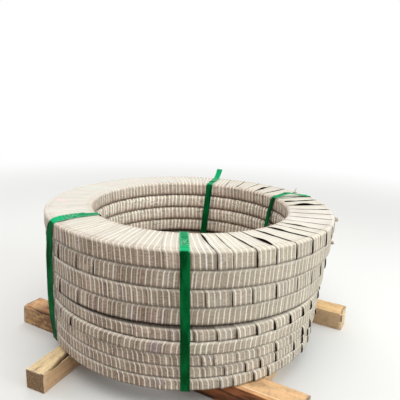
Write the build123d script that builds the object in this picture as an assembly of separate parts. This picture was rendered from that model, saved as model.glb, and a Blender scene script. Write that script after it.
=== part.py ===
from build123d import *
import math
import os

# Nine wrapped coils of slit stainless strip, lying flat in one stack, bound by four plastic straps
# and set on timber bearers. Sizes are in mm, +Z is up, and X runs along the bearers.

# Steel strip coils, wound on one size of mandrel
bore_diameter = 508.0
wide_strip = 34.8
narrow_strip = 22.8

# Rows from the bottom up: strip width, outside diameter of the steel, slip along X and along Y
rows = [
    (narrow_strip, 675.0, 0.0, -20.0),
    (narrow_strip, 673.0, 1.0, -21.0),
    (narrow_strip, 678.0, 4.0, -19.0),
    (narrow_strip, 683.0, 4.0, -21.0),
    (narrow_strip, 681.0, 6.0, -18.0),
    (wide_strip, 711.0, -8.0, 1.0),
    (wide_strip, 711.0, -4.0, -2.0),
    (wide_strip, 716.0, 0.0, 0.0),
    (wide_strip, 723.0, 0.0, 0.0),
]

# Woven wrap round each coil, thicker in the bore where its turns crowd together
wrap_thickness = 2.6
wrap_bore_thickness = 3.4
wrap_bevel = 4.4

# Plastic straps: where they stand round the stack, and how they lie on it
strap_width = 19.0
strap_thickness = 0.7
strap_gap = 0.2
strap_bend = 1.25 * wrap_bevel
strap_angles = {"front": -61.8, "left": -115.5, "right": 51.0, "back": 106.0}

# Degrees by which each strap's legs lean, drifting anticlockwise on the way down
strap_leans = {"front": 1.7, "left": -6.0, "right": 5.0, "back": 3.5}

# Each strap's two ends lap on the top face and are welded there
lap_length = 62.0
lap_edge_distance = 12.0
lap_inset = 0.4

# The back strap's spare end stands up off its weld
tail_run = 40.0
tail_rise = 27.0

# Timber bearers under the stack, and two short blocks pushed against the front bearer
bearer_width = 60.0
bearer_height = 50.0
bearer_length = 775.0
front_bearer_y = -210.0
rear_bearer_y = 230.0
front_bearer_x = 10.0
rear_bearer_x = -6.0
block_width = 49.0
block_height = 45.0
block_length = 176.0
front_block_x = -141.0
front_block_turn = 5.0
inner_block_x = 274.0
inner_block_turn = 3.0
timber_edge = 1.5


def row_levels():
    """Height of the underside of each wrapped coil, and of the top of the stack."""
    levels = [bearer_height + strap_thickness + strap_gap]
    for strip, _, _, _ in rows:
        levels.append(levels[-1] + strip + 2 * wrap_thickness)
    return levels


levels = row_levels()
stack_top = levels[-1]
bore_radius = bore_diameter / 2
wrapped_bore = bore_radius - wrap_bore_thickness


def ring_section(inner, outer, bottom, top):
    """Rectangle in the XZ plane between two radii and two heights."""
    corners = [(inner, bottom), (outer, bottom), (outer, top), (inner, top)]
    return Plane.XZ * Polygon(*corners, align=None)


def steel_coil(number):
    """Strip wound tight into a plain ring, centred where its row has slipped to."""
    strip, outside, slip_x, slip_y = rows[number]
    bottom = levels[number] + wrap_thickness
    section = ring_section(bore_radius, outside / 2, bottom, bottom + strip)
    return Pos(slip_x, slip_y, 0) * revolve(section, Axis.Z)


def wrapped_section(number):
    """Outline of the wrapped coil, with its corners eased by the wrap."""
    _, outside, _, _ = rows[number]
    outer = outside / 2 + wrap_thickness
    section = ring_section(wrapped_bore, outer, levels[number], levels[number + 1])
    return chamfer(section.vertices(), wrap_bevel)


def coil_wrap(number):
    """Skin of woven ribbon that closes round the steel of one row."""
    strip, outside, slip_x, slip_y = rows[number]
    bottom = levels[number] + wrap_thickness
    steel = ring_section(bore_radius, outside / 2, bottom, bottom + strip)
    skin = wrapped_section(number) - steel
    return Pos(slip_x, slip_y, 0) * revolve(skin, Axis.Z)


def strap_direction(name):
    """Level direction from the stack's axis out to a strap."""
    angle = math.radians(strap_angles[name])
    return Vector(math.cos(angle), math.sin(angle), 0)


def strap_tangent(name):
    """Level direction across a strap, anticlockwise."""
    return Vector(0, 0, 1).cross(strap_direction(name))


def strap_plane(name):
    """Leaning plane of a strap's middle line, its origin on the stack's top face."""
    lean = math.radians(strap_leans[name])
    facing = strap_tangent(name) * -math.cos(lean) - Vector(0, 0, 1) * math.sin(lean)
    return Plane(origin=(0, 0, stack_top), x_dir=strap_direction(name), z_dir=facing)


def plane_height(name, height):
    """Height above the floor, as measured up a strap's leaning plane."""
    return (height - stack_top) / math.cos(math.radians(strap_leans[name]))


def row_reach(number, name):
    """Nearest and farthest radius of one wrapped coil under a strap's width."""
    _, outside, slip_x, slip_y = rows[number]
    direction = strap_direction(name)
    tangent = strap_tangent(name)
    along = slip_x * direction.X + slip_y * direction.Y
    across = slip_x * tangent.X + slip_y * tangent.Y
    lean = math.tan(math.radians(strap_leans[name]))
    drifts = [abs((stack_top - levels[edge]) * lean - across) for edge in (number, number + 1)]
    near = max(min(drifts) - strap_width / 2, 0)
    far = max(drifts) + strap_width / 2
    outer = along + math.sqrt((outside / 2 + wrap_thickness) ** 2 - near**2)
    inner = along + math.sqrt(wrapped_bore**2 - far**2)
    return inner, outer


def strap_corners(name):
    """Centres of the bends that a strap could pull against, in its own plane."""
    centres = []
    for number in range(len(rows)):
        inner, outer = row_reach(number, name)
        for height in (levels[number] + strap_bend, levels[number + 1] - strap_bend):
            centres.append((inner + strap_bend, plane_height(name, height)))
            centres.append((outer - strap_bend, plane_height(name, height)))
    return centres


def turn(start, middle, end):
    """Positive where three points in a plane turn to the left."""
    first = (middle[0] - start[0]) * (end[1] - start[1])
    second = (middle[1] - start[1]) * (end[0] - start[0])
    return first - second


def half_hull(points):
    """One side of the tightest outline round some points already in order."""
    chain = []
    for point in points:
        while len(chain) > 1 and turn(chain[-2], chain[-1], point) <= 1e-6:
            chain.pop()
        chain.append(point)
    return chain[:-1]


def tight_outline(points):
    """Polygon that a tight band would take round the points."""
    ordered = sorted(set(points))
    return half_hull(ordered) + half_hull(ordered[::-1])


def strap_loop(name):
    """Section of the closed band, as a thin ring round the pulled-in outline."""
    core = Polygon(*tight_outline(strap_corners(name)), align=None)
    inside = strap_bend + strap_gap
    outer = offset(core, amount=inside + strap_thickness, kind=Kind.ARC)
    return outer - offset(core, amount=inside, kind=Kind.ARC)


def lap_end(name):
    """Radius at which a strap's upper end stops, short of the stack's edge."""
    _, outer = row_reach(len(rows) - 1, name)
    return outer - strap_bend - lap_edge_distance


def lap_section(name):
    """Second layer where the strap's end lies on itself, on the top face."""
    end = lap_end(name)
    base = strap_gap + strap_thickness / 2
    top = strap_gap + 2 * strap_thickness
    corners = [(end - lap_length, base), (end, base), (end, top), (end - lap_length, top)]
    return Polygon(*corners, align=None)


def tail_section(name):
    """Spare end of the strap past its weld, curling up clear of the coil."""
    start_x = lap_end(name) - strap_thickness
    start_y = strap_gap + strap_thickness
    curl = (tail_run**2 + tail_rise**2) / (2 * tail_rise)
    angle = math.degrees(math.asin(tail_run / curl))
    centre = (start_x, start_y + curl)
    under = CenterArc(centre, curl, -90, angle)
    over = CenterArc(centre, curl - strap_thickness, -90, angle)
    ends = [Line(under @ 0, over @ 0), Line(under @ 1, over @ 1)]
    return make_face([under, over] + ends)


def strap_band(name, section, width):
    """Section in a strap's leaning plane, swept level across the strap's width."""
    across = strap_tangent(name)
    first_edge = Pos(across * (-width / 2)) * (strap_plane(name) * section)
    return extrude(first_edge, amount=width, dir=across)


def strap(name):
    """One strap: up the bore, over the top, down the outside and back beneath."""
    solid = strap_band(name, strap_loop(name), strap_width)
    solid += strap_band(name, lap_section(name), strap_width - 2 * lap_inset)
    if name == "back":
        solid += strap_band(name, tail_section(name), strap_width - 2 * lap_inset)
    return solid


def timber(length, width, height):
    """Sawn timber standing on the floor, its long edges barely broken."""
    block = Pos(0, 0, height / 2) * Box(length, width, height)
    return chamfer(block.edges().filter_by(Axis.X), timber_edge)


def offcut(x, against, turn, way):
    """Short block along Y, one end pushed against a bearer; way is -1 in front and +1 behind."""
    piece = Pos(way * block_length / 2, 0, 0) * timber(block_length, block_width, block_height)
    end = against + way * block_width / 2 * math.sin(math.radians(turn))
    return Pos(x, end, 0) * Rot(0, 0, 90 + turn) * piece


def build_nodes():
    """Every physical piece of the stack, by its node name."""
    nodes = {}
    for number in range(len(rows)):
        nodes[f"coil_{number + 1}"] = steel_coil(number)
        nodes[f"wrap_{number + 1}"] = coil_wrap(number)
    for name in strap_angles:
        nodes[f"strap_{name}"] = strap(name)
    bearer = timber(bearer_length, bearer_width, bearer_height)
    nodes["bearer_front"] = Pos(front_bearer_x, front_bearer_y, 0) * bearer
    nodes["bearer_rear"] = Pos(rear_bearer_x, rear_bearer_y, 0) * bearer
    front, back = front_bearer_y - bearer_width / 2, front_bearer_y + bearer_width / 2
    nodes["block_front"] = offcut(front_block_x, front, front_block_turn, -1)
    nodes["block_inner"] = offcut(inner_block_x, back, inner_block_turn, 1)
    return nodes


def footprint_centre(pieces):
    """Middle of the box round all the pieces, seen from above."""
    boxes = [piece.bounding_box() for piece in pieces]
    middle_x = (min(box.min.X for box in boxes) + max(box.max.X for box in boxes)) / 2
    middle_y = (min(box.min.Y for box in boxes) + max(box.max.Y for box in boxes)) / 2
    return middle_x, middle_y


def main():
    """Centre the stack's footprint on the origin, at floor level, and write each piece."""
    nodes = build_nodes()
    middle_x, middle_y = footprint_centre(nodes.values())
    os.makedirs("parts", exist_ok=True)
    for name, piece in nodes.items():
        export_step(Pos(-middle_x, -middle_y, 0) * piece, f"parts/{name}.step")
    print("stack axis at", round(-middle_x, 3), round(-middle_y, 3), "top", round(stack_top, 3))


main()
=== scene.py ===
import math

import bpy
import numpy as np
from mathutils import Matrix, Vector, noise

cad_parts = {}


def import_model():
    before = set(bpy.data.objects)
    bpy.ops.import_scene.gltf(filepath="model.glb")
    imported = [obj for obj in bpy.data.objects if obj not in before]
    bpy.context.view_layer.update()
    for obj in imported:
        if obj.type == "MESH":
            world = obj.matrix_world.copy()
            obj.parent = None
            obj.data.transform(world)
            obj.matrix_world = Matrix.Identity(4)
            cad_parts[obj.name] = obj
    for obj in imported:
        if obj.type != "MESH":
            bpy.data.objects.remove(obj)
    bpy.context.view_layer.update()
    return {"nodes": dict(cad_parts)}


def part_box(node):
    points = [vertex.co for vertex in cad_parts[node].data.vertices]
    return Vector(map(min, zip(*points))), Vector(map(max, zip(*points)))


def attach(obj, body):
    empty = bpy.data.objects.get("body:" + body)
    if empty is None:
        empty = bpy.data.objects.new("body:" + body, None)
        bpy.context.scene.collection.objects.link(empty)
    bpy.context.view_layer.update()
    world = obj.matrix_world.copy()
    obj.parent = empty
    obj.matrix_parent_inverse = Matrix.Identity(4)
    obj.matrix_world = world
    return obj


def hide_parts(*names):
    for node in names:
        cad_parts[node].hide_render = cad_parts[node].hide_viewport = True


# Nine wrapped coils of slit strip in one strapped stack on timber. Lengths are in metres, +Z is up
# and azimuths are degrees anticlockwise from +X, seen from above.
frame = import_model()

MM = 0.001

# Camera, solved from the rims in the photograph: placed from the top coil's centre at its top face
CAMERA_OUT = 1.1074
CAMERA_ABOVE = 0.2767
CAMERA_AZIMUTH = -60.0
CAMERA_PITCH = 13.70
CAMERA_YAW = 1.216
CAMERA_ROLL = 2.263
CAMERA_LENS = 39.18
SENSOR = 36.0

# Woven ribbon wound as a helix round each coil
RIBBON_WIDTH = 64 * MM
RIBBON_THICKNESS = 0.35 * MM
WRAPPED_BORE = 250.6 * MM
WIDEST_TURN = 58 * MM
STRIPE_PITCH = 11.3 * MM
WARP_PITCH = 1.7 * MM
WEFT_PITCH = 2.3 * MM

# How far the rounding of each corner reaches along the radius and down the height
OUTER_CORNER = (5.8 * MM, 7.5 * MM)
BORE_CORNER = (8.0 * MM, 11.5 * MM)
TOP_CORNERS = {9: ((7 * MM, 7 * MM), (10 * MM, 8 * MM))}

# Places across the ribbon
COLUMNS = np.array([0.0, 0.035, 0.09, 0.18, 0.32, 0.5, 0.7, 0.87, 1.0])

# Zones of a section, how many places each has, more on top in the rows whose top face shows, and
# how strongly the ribbon leans in each
OUTSIDE, UNDERSIDE, BORE, TOP, CORNER = range(5)
PLACES = (5, 4, 8, 4, 5)
TOP_PLACES = {9: 16, 5: 7}
LEANS = np.array([0.4, 1.43, 0.5, 1.25, 0.6])
# Turns sweep sideways as they come over the upper outside corner, by the hand of the row
SHOULDER_LEANS = {1: 3.5, -1: 2.8}

# How dark painted shade leaves the underside and the top face of a row, and over how many places
# that eases off. The gap under the wide rows is deep and dark, and its painted shade spreads up and
# down.
USUAL_SEAM_SHADES = ((0.62, 2), (0.62, 1))
SEAM_SHADES = {5: ((0.62, 2), (1.0, 3)), 6: ((1.0, 5), (0.62, 1)), 9: ((0.62, 2), (0.0, 1))}
GAP_SHADE = {5: (-4.0, -3.1), 6: (3.2, -2.2)}

# Height of the ribbon's free edge and tucked edge above the wrap's face
FREE_ON_FACE = -0.2 * MM
TUCKED_ON_FACE = -1.9 * MM
TUCKED_WHERE_SMOOTH = -1.1 * MM
FREE_ON_CORNER = -0.15 * MM
TUCKED_ON_CORNER = -0.95 * MM
# How sharply a lifted edge curls, and how high the ripples are: each has a pitch along the ribbon,
# and leans across it
CURL = 2.4
RIPPLE = 0.28 * MM
RIPPLES = ((33 * MM, 5.0), (19 * MM, -8.0), (52 * MM, 3.0))

# One row for each coil from the bottom up. "hand" is +1 where the turns climb anticlockwise under
# the next, and -1 where they are wound the other way. "edges" are the azimuths of the free edges
# that the photograph shows, halfway up the outside, and "lift" says how far each stands off, in mm.
# Film holds the turns down over the azimuths named "smooth".
WOUND = [
    {"hand": 1, "turns": 48, "edges": [-67.5, -46.2, -41.5, -33.3, -27.1, -5.0],
     "lift": [2.5, 2.5, 2.5, 3.0, 3.0, 4.0]},
    {"hand": 1, "turns": 49, "edges": [-44.8, -37.0, -31.0, -23.7, -12.8, -6.0, 0.5],
     "lift": [1.5, 2.5, 4.0, 3.0, 3.5, 5.0, 5.0]},
    {"hand": 1, "turns": 48, "edges": [-53.5, -49.5, -25.4, -8.8, -1.3, 10.1],
     "lift": [2.5, 2.5, 3.0, 5.0, 5.0, 4.0]},
    {"hand": -1, "turns": 46, "edges": [-104.2], "lift": [1.9]},
    {"hand": 1, "turns": 48,
     "edges": [-76.5, -64.4, -56.8, -49.3, -42.6, -35.2, -27.7, -19.9, -11.8, -4.8, 5.7],
     "lift": [2.5, 2.5, 3.0, 3.5, 4.0, 4.5, 5.0, 5.5, 5.5, 5.5, 5.0]},
    {"hand": -1, "turns": 45, "edges": [-109.4, -98.2], "lift": [2.2, 1.0]},
    {"hand": 1, "turns": 44, "edges": [-53.7, -45.4, -38.5, -29.4, -19.7, -10.4, -1.6],
     "lift": [2.0, 2.0, 1.5, 1.5, 1.0, 1.2, 1.5]},
    {"hand": -1, "turns": 44, "edges": [-110.8, -99.2, -91.2], "lift": [2.0, 1.5, 1.0]},
    {"hand": 1, "turns": 46, "edges": [-51.6, -46.9, -39.2, -32.4, -24.0, -15.5, -5.1],
     "lift": [2.5, 1.0, 3.0, 1.2, 1.8, 2.4, 2.6], "smooth": (-3, 27)},
]

# How lifts fade out: short of a row's top and bottom, in the bore, over the upper outside corner
# and in from it
LIFT_MARGIN = 0.5 * MM
BORE_LIFT = 0.3
SHOULDER_LIFT = 0.45
SHOULDER_REACH = 70 * MM

# Azimuths over which turns with no edge named lie close, by the hand of the row
CLOSE = {1: (-118, -50), -1: (-118, -8)}

# Lifted places on the top face of the top coil: azimuth, radius and height of the lift, in mm
TOP_LIFTS = [
    (-53.0, 292, 3.6), (-48.5, 300, 1.2), (-41.0, 322, 1.5), (-36.0, 336, 6.5),
    (-28.0, 300, 2.0), (-20.0, 290, 3.0), (-8.0, 300, 2.0), (33.0, 300, 4.5),
    (30.0, 322, 2.0), (29.0, 335, 3.0), (37.0, 280, 6.5), (38.4, 335, 3.0), (46.0, 270, 4.0),
    (60.5, 294, 4.0), (73.0, 298, 3.5), (85.4, 283, 2.5), (86.5, 342, 2.0),
]
TOP_LIFT_SPREAD = 3.0
TOP_LIFT_REACH = 26 * MM
# Small lifts show over these azimuths, and hardly anywhere else
TOP_SHOWN = (-57, 97)

# Straps: azimuth, drift anticlockwise on the way down, and how each really lies. A knot gives the
# leg, the radius or the depth below the stack's top, the shift anticlockwise, the twist in degrees
# and the lift, all lengths in mm.
STRAPS = {
    "front": {"azimuth": -61.8, "drift": 1.7, "knots": [
        ("top", 262, -4.0, 0, 0), ("top", 340, 1.8, 0, 0), ("out", 20, 4.0, 1, 0.2),
        ("out", 97, 3.6, 2, 0.4), ("out", 150, 4.4, -2, 0.3), ("out", 202, 3.8, 0, 0.3),
        ("bottom", 330, 3.4, 0, 0), ("bottom", 270, 0, 0, 0), ("bore", 250, -2, 0, 0),
        ("bore", 60, -4, 0, 0)]},
    "left": {"azimuth": -115.5, "drift": -6.0, "knots": [
        ("top", 262, -6.5, 0, 0.2), ("top", 310, -4.5, -14, 2.8), ("top", 350, 9.0, -14, 4.6),
        ("out", 12, 9.0, -16, 4.6), ("out", 47, 7.5, -24, 4.4), ("out", 81, 0.5, -26, 4.4),
        ("out", 173, -1.0, -24, 4.0), ("out", 250, 3.5, -18, 3.2), ("out", 292, 7.5, -6, 1.4),
        ("bottom", 320, 9.0, 0, 0), ("bottom", 270, 5.0, 0, 0), ("bore", 250, 0, 0, 0),
        ("bore", 60, -3, 0, 0)]},
    "right": {"azimuth": 51.0, "drift": 5.0, "knots": [
        ("top", 258, -2.5, 0, 0.6), ("top", 285, 2.5, 0, 7.5), ("top", 302, 1.0, 2, 9.5),
        ("top", 345, -6.5, 0, 2.0), ("out", 20, -7.5, 0, 0.3), ("out", 150, -6, 0, 0.3),
        ("bottom", 330, -2, 0, 0), ("bottom", 270, 3, 0, 0), ("bore", 250, 7, 0, 0),
        ("bore", 84, 9.5, 0, 0), ("bore", 15, 4.5, 0, 0.3)]},
    "back": {"azimuth": 106.0, "drift": 3.5, "knots": [
        ("top", 262, 3.0, 0, 0), ("top", 345, 2.0, 0, 0), ("out", 100, 3.2, 0, 0.2),
        ("out", 240, 1.5, 0, 0.2), ("bottom", 300, 2.0, 0, 0), ("bore", 160, 4.2, 0, 0.2),
        ("bore", 20, 3.4, 0, 0)]},
}
STRAP_HALF = 9.5 * MM
STRAP_THICKNESS = 0.7 * MM
STRAP_GAP = 0.2 * MM
STRAP_BEND = 5.5 * MM
STRAP_STEP = 4.5 * MM
BEND_STEP = 11
# Places across a strap, from -1 to 1, and how thick it is at each
STRAP_COLUMNS = np.array([-1.0, -0.975, -0.66, -0.22, 0.22, 0.66, 0.975, 1.0])
STRAP_PROFILE = np.array([0.35, 1, 1, 1, 1, 1, 1, 0.35])
# How far beside a strap the ribbon is held down, over how much more it rises, and how wide a band
# of places beside a strap's middle is looked at
STRAP_HOLD = 3 * MM
STRAP_EASE = 16 * MM
STRAP_SWAY = 90 * MM
# Over how many mm, and at most how many, a strap's shift, twist and lift are blended
KNOT_BLEND = 9.0
KNOT_REACH = 30
# The left strap bends softly over the upper outside edge: how far each place is drawn, and how
# near the edge
SOFT_REACH = 10 * MM
SOFT_NEAR = 50 * MM
EMBOSS_PITCH = 2.4 * MM
PALE_RIM = (6.2 * MM, 8.8 * MM)

# Each strap's upper end lies on itself on the top face, welded along the middle of the lap
LAP_LENGTH = 62 * MM
LAP_FROM_EDGE = 12 * MM
WELD_START = 50 * MM
WELD_END = 12 * MM
WELD_FADE = 3 * MM
WELD_PITCH = 1.5 * MM
WELD_SINK = 0.25 * MM
LAP_INSET = 0.4 * MM
LAP_STEP = 2.5 * MM
# The lap's loose start stands up a little, over a short way
LAP_LIFT = 1.2 * MM
LAP_LIFT_REACH = 10 * MM
# The spare end's radius, its turn in radians, and how far it drifts and twists
TAIL_CURL = 43 * MM
TAIL_BEND = np.linspace(0.06, 1.16, 16)
TAIL_DRIFT = 3 * MM
TAIL_TWIST = 0.16

# Timber: the size in mm, how it is turned, where its growth rings have their middle, the colours of
# its top, sides and ends, with the sides darker as painted shade, and its cracks and chips. A crack
# has two ends seen from above, a width and a depth, and a chip a place, its reach and a depth, all in
# mm from the middle.
TIMBERS = {
    "bearer_front": {
        "size": (775, 60, 50), "turn": 0, "rows": 84, "seed": 1, "pith": (-8, -14),
        "stained": 0.6, "wet_and_shaded": 0.9,
        "colors": ((234, 190, 142), (170, 132, 96), (204, 168, 128)),
        "cracks": [((-388, -25), (-215, -22), 6.5, 6.0), ((-372, -6), (-290, 0), 1.0, 2.0)],
        "chips": [((-387, -27, 46), (5, 6, 8), 2.5)]},
    "bearer_rear": {
        "size": (775, 60, 50), "turn": 0, "rows": 84, "seed": 2, "pith": (4, -14),
        "colors": ((236, 196, 142), (208, 176, 138), (240, 210, 160)),
        "chips": [((387, 0, 50), (9, 30, 14), 4.0), ((387, 28, 20), (9, 12, 24), 7.0)]},
    "block_front": {
        "size": (176, 49, 45), "turn": 95, "rows": 70, "seed": 3, "pith": (3, 20),
        "colors": ((246, 218, 170), (222, 182, 140), (142, 114, 86)),
        "cracks": [((-82, -22), (60, -12), 6.5, 9.0), ((-87, 6), (-62, 2), 2.0, 4.0)],
        "chips": [((-88, -22, 44), (5, 8, 8), 2.5)]},
    "block_inner": {
        "size": (176, 49, 45), "turn": 93, "rows": 70, "seed": 5, "pith": (40, -14),
        "colors": ((238, 206, 156), (216, 180, 140), (150, 120, 90))},
}
TIMBER_EDGE = 1.5 * MM
# Rings that close a timber's ends, as shares of its section
END_RINGS = (0.2, 0.4, 0.6, 0.78, 0.9, 0.97)
SHORT_TIMBER = 300 * MM
# How far in from edges and ends the wear, the chips and the bare fibres reach
EDGE_WEAR = 2.5 * MM
CHIPPED_END = 12 * MM
BARE_END = 4 * MM
# How far a crack wanders off its line, and how far apart the growth rings are
CRACK_WANDER = 1.1 * MM
RING_PITCH = 5.6 * MM
# The worn upper edge of the wet bearer in painted shade, from the middle: where it ends and where its
# ridge lies
WORN_BAND = (-24.0 * MM, -19.5 * MM)
WORN_RIDGE = 19.0 * MM

# Loose bits: a line of places, in mm out, degrees round and mm up from the floor, then which way
# the strip is broad, its widths along the line and its thickness
LOOSE = {
    "loose_end_top": ([(362, 21.5, 336), (364.5, 19.5, 337), (371, 17.6, 339), (374, 16.4, 343),
                       (370, 15.8, 347)], (0, 0, 1), (9, 12, 7, 3), 0.4),
    "loose_end_second": ([(359, 11.0, 292), (362.5, 10.0, 293), (368, 9.2, 297), (366, 8.4, 301),
                          (362, 8.7, 299)], (0, 0.3, 1), (7, 8, 5, 2), 0.35),
    "loose_film": ([(352, 58.2, 350.6), (353, 58.0, 355), (350, 57.4, 361), (354, 56.9, 366)],
                   (0.6, 0.4, 0), (5, 3.5, 2), 0.3),
}
CUP = 0.25 * MM

# Lamps: place, what each points at, size, power and colour
LAMPS = {
    "key": ((0.6, -0.9, 2.4), (0, 0, 0.2), 2.0, 24, (1.0, 1.0, 1.0)),
    "back_left": ((-0.9, 0.7, 1.7), (-0.3, 0.1, 0.35), 1.2, 8, (1.0, 0.96, 0.97)),
    "side": ((2.3, 0.3, 1.2), (0, 0, 0.2), 1.8, 37, (0.88, 0.97, 1.0)),
    "far_side": ((-2.3, -0.7, 0.9), (0, 0, 0.2), 1.6, 9, (0.72, 0.9, 1.0)),
}
# The floor reaches far out, and fades to white over these distances from the middle
FAR = 30.0
FLOOR_FADE = (1.0, 3.2)


def centre_of(node):
    """Middle of a node's box, seen from above."""
    low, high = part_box(node)
    return np.add(low, high)[:2] / 2


# The top coil gives the stack's axis and its height
axis = centre_of(f"wrap_{len(WOUND)}")
stack_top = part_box(f"wrap_{len(WOUND)}")[1][2]


def linear(red, green, blue):
    """Colour as seen on screen, 0 to 255, turned into the linear values that shaders take."""
    parts = []
    for value in (red, green, blue):
        value /= 255
        parts.append(value / 12.92 if value <= 0.04045 else ((value + 0.055) / 1.055) ** 2.4)
    return (*parts, 1.0)


# Shader graphs

class Wire:
    """One output in a shader graph, which takes part in sums as a number does."""

    def __init__(self, graph, socket):
        self.graph = graph
        self.socket = socket

    def do(self, operation, other=0.0):
        return self.graph.math(operation, self, other)

    def __add__(self, other):
        return self.do("ADD", other)

    def __radd__(self, other):
        return self.graph.math("ADD", other, self)

    def __sub__(self, other):
        return self.do("SUBTRACT", other)

    def __rsub__(self, other):
        return self.graph.math("SUBTRACT", other, self)

    def __mul__(self, other):
        return self.do("MULTIPLY", other)

    def __truediv__(self, other):
        return self.do("DIVIDE", other)

    def wave(self, pitch):
        return (self * (2 * math.pi / pitch)).do("SINE")

    def ramp(self, low, high, start=0.0, end=1.0):
        """Smooth step of this value from one level to another."""
        inputs = {"Value": self, "From Min": low, "From Max": high, "To Min": start, "To Max": end}
        return self.graph.wire("ShaderNodeMapRange", inputs, interpolation_type="SMOOTHSTEP")

    def scaled(self, x, y, z):
        return self.graph.wire("ShaderNodeVectorMath", {0: self, 1: (x, y, z)}, operation="MULTIPLY")

    def split(self):
        node = self.graph.add("ShaderNodeSeparateXYZ", {0: self})
        return [Wire(self.graph, socket) for socket in node.outputs]


class Graph:
    """Shader nodes of a material or a world, with its colour and its bumps so far."""

    def __init__(self, owner):
        owner.use_nodes = True
        self.owner = owner
        self.tree = owner.node_tree
        self.tree.nodes.clear()
        self.color = None
        self.normal = None

    def add(self, kind, inputs, **settings):
        """New node, with its settings and with what goes into its inputs."""
        node = self.tree.nodes.new(kind)
        for key, value in settings.items():
            setattr(node, key, value)
        for key, value in inputs.items():
            if isinstance(value, Wire):
                self.tree.links.new(value.socket, node.inputs[key])
            else:
                node.inputs[key].default_value = value
        return node

    def wire(self, kind, inputs, output=0, **settings):
        """Output of a new node."""
        return Wire(self, self.add(kind, inputs, **settings).outputs[output])

    def math(self, operation, first, second=0.0):
        return self.wire("ShaderNodeMath", {0: first, 1: second}, operation=operation)

    def mix(self, share, first, second):
        return self.wire("ShaderNodeMix", {0: share, 6: first, 7: second}, 2, data_type="RGBA")

    def blend(self, share, first, second):
        return self.wire("ShaderNodeMixShader", {0: share, 1: first, 2: second})

    def combine(self, x=0.0, y=0.0, z=0.0):
        return self.wire("ShaderNodeCombineXYZ", {0: x, 1: y, 2: z})

    def place(self):
        return self.wire("ShaderNodeTexCoord", {}, "Object")

    def map(self, name):
        """Numbers that a mesh carries on its surface."""
        return self.wire("ShaderNodeUVMap", {}, uv_map=name).split()

    def facing_up(self, low):
        return self.wire("ShaderNodeNewGeometry", {}, "Normal").split()[2].ramp(low, 0.8)

    def noise(self, vector, detail=2.0, rough=0.5, scale=1.0):
        inputs = {"Vector": vector, "Scale": scale, "Detail": detail, "Roughness": rough}
        return self.wire("ShaderNodeTexNoise", inputs)

    def cells(self, vector):
        """Distance from the nearest of some scattered points."""
        return self.wire("ShaderNodeTexVoronoi", {"Vector": vector, "Scale": 1.0}, "Distance")

    def paint(self, share, *color):
        """Lays a share of a colour over the last: a wire, or 0 to 255 as seen on screen."""
        over = color[0] if isinstance(color[0], Wire) else linear(*color)
        self.color = self.mix(share, self.color, over)

    def bump(self, height, distance, strength):
        """Lays bumps over the last ones."""
        inputs = {"Height": height, "Distance": distance, "Strength": strength}
        if self.normal:
            inputs["Normal"] = self.normal
        self.normal = self.wire("ShaderNodeBump", inputs)

    def light_path(self, *kinds):
        """1 for the named kinds of ray, and 0 for the rest."""
        rays = self.add("ShaderNodeLightPath", {}).outputs
        seen = Wire(self, rays[f"Is {kinds[0]} Ray"])
        for kind in kinds[1:]:
            seen = seen.do("MAXIMUM", Wire(self, rays[f"Is {kind} Ray"]))
        return seen

    def surface(self, roughness, **constants):
        """Shader with the colour and bumps laid so far, and constants on its own sockets."""
        inputs = {key.replace("_", " "): value for key, value in constants.items()}
        inputs.update({"Base Color": self.color, "Roughness": roughness})
        if self.normal:
            inputs["Normal"] = self.normal
        return self.wire("ShaderNodeBsdfPrincipled", inputs)

    def finish(self, surface, kind="Material"):
        self.add(f"ShaderNodeOutput{kind}", {"Surface": surface})
        return self.owner


class RibbonGraph(Graph):
    """Shader nodes of the ribbon, with what several of its looks depend on."""

    def __init__(self):
        super().__init__(bpy.data.materials.new("wrap"))
        self.across, self.along, _ = self.map("ribbon")
        self.past, self.open_by, _ = self.map("next")
        self.seam, self.upward, _ = self.map("tint")
        self.in_bore, self.down, _ = self.map("shade")
        self.here = self.place()
        self.out, self.back, self.high = self.here.split()
        self.cloudy = self.noise(self.here, 3.0, scale=14.0)
        # The weave, and thicker and thinner threads in it
        self.weft = self.along.wave(WEFT_PITCH)
        self.weave = self.across.wave(WARP_PITCH) * self.weft
        self.slub = self.noise(self.combine(self.across * 120.0, self.along * 300.0))
        # Each tape has one stripe, which wanders and changes in width
        wander = (self.noise(self.combine(self.along * 6.0)) - 0.5) * 0.5
        self.tape = self.across / STRIPE_PITCH + wander
        self.number = self.tape.do("FLOOR")
        self.off_stripe = (self.tape.do("FRACT") - 0.5).do("ABSOLUTE")
        width = self.varied(self.number, 5.0).ramp(0.35, 0.65, 0.045, 0.115) + self.in_bore * 0.07
        stripe = self.off_stripe.ramp(width, width + 0.055, 1.0, 0.0)
        self.stripe = stripe * self.varied(self.number, 9.0).ramp(0.35, 0.60, 0.60, 0.98)
        self.rosy = self.varied(self.number * 5.0, 33.0)
        self.green = self.varied(self.number * 7.0, 47.0)
        # Crumpled in the bore, with sharper dents here and there
        self.crumple = self.noise(self.here.scaled(95.0, 95.0, 130.0), 3.0, 0.65)
        self.fold = self.noise(self.here.scaled(150.0, 150.0, 230.0))
        dents = self.cells(self.here.scaled(21.0, 21.0, 26.0)).ramp(0.26, 0.42, 1.0, 0.0)
        self.dent = dents * self.in_bore

    def varied(self, tape, seed):
        """Slow change along a tape, unlike the tapes beside it."""
        return self.noise(self.combine(self.along * 4.0, tape, seed))


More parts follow.
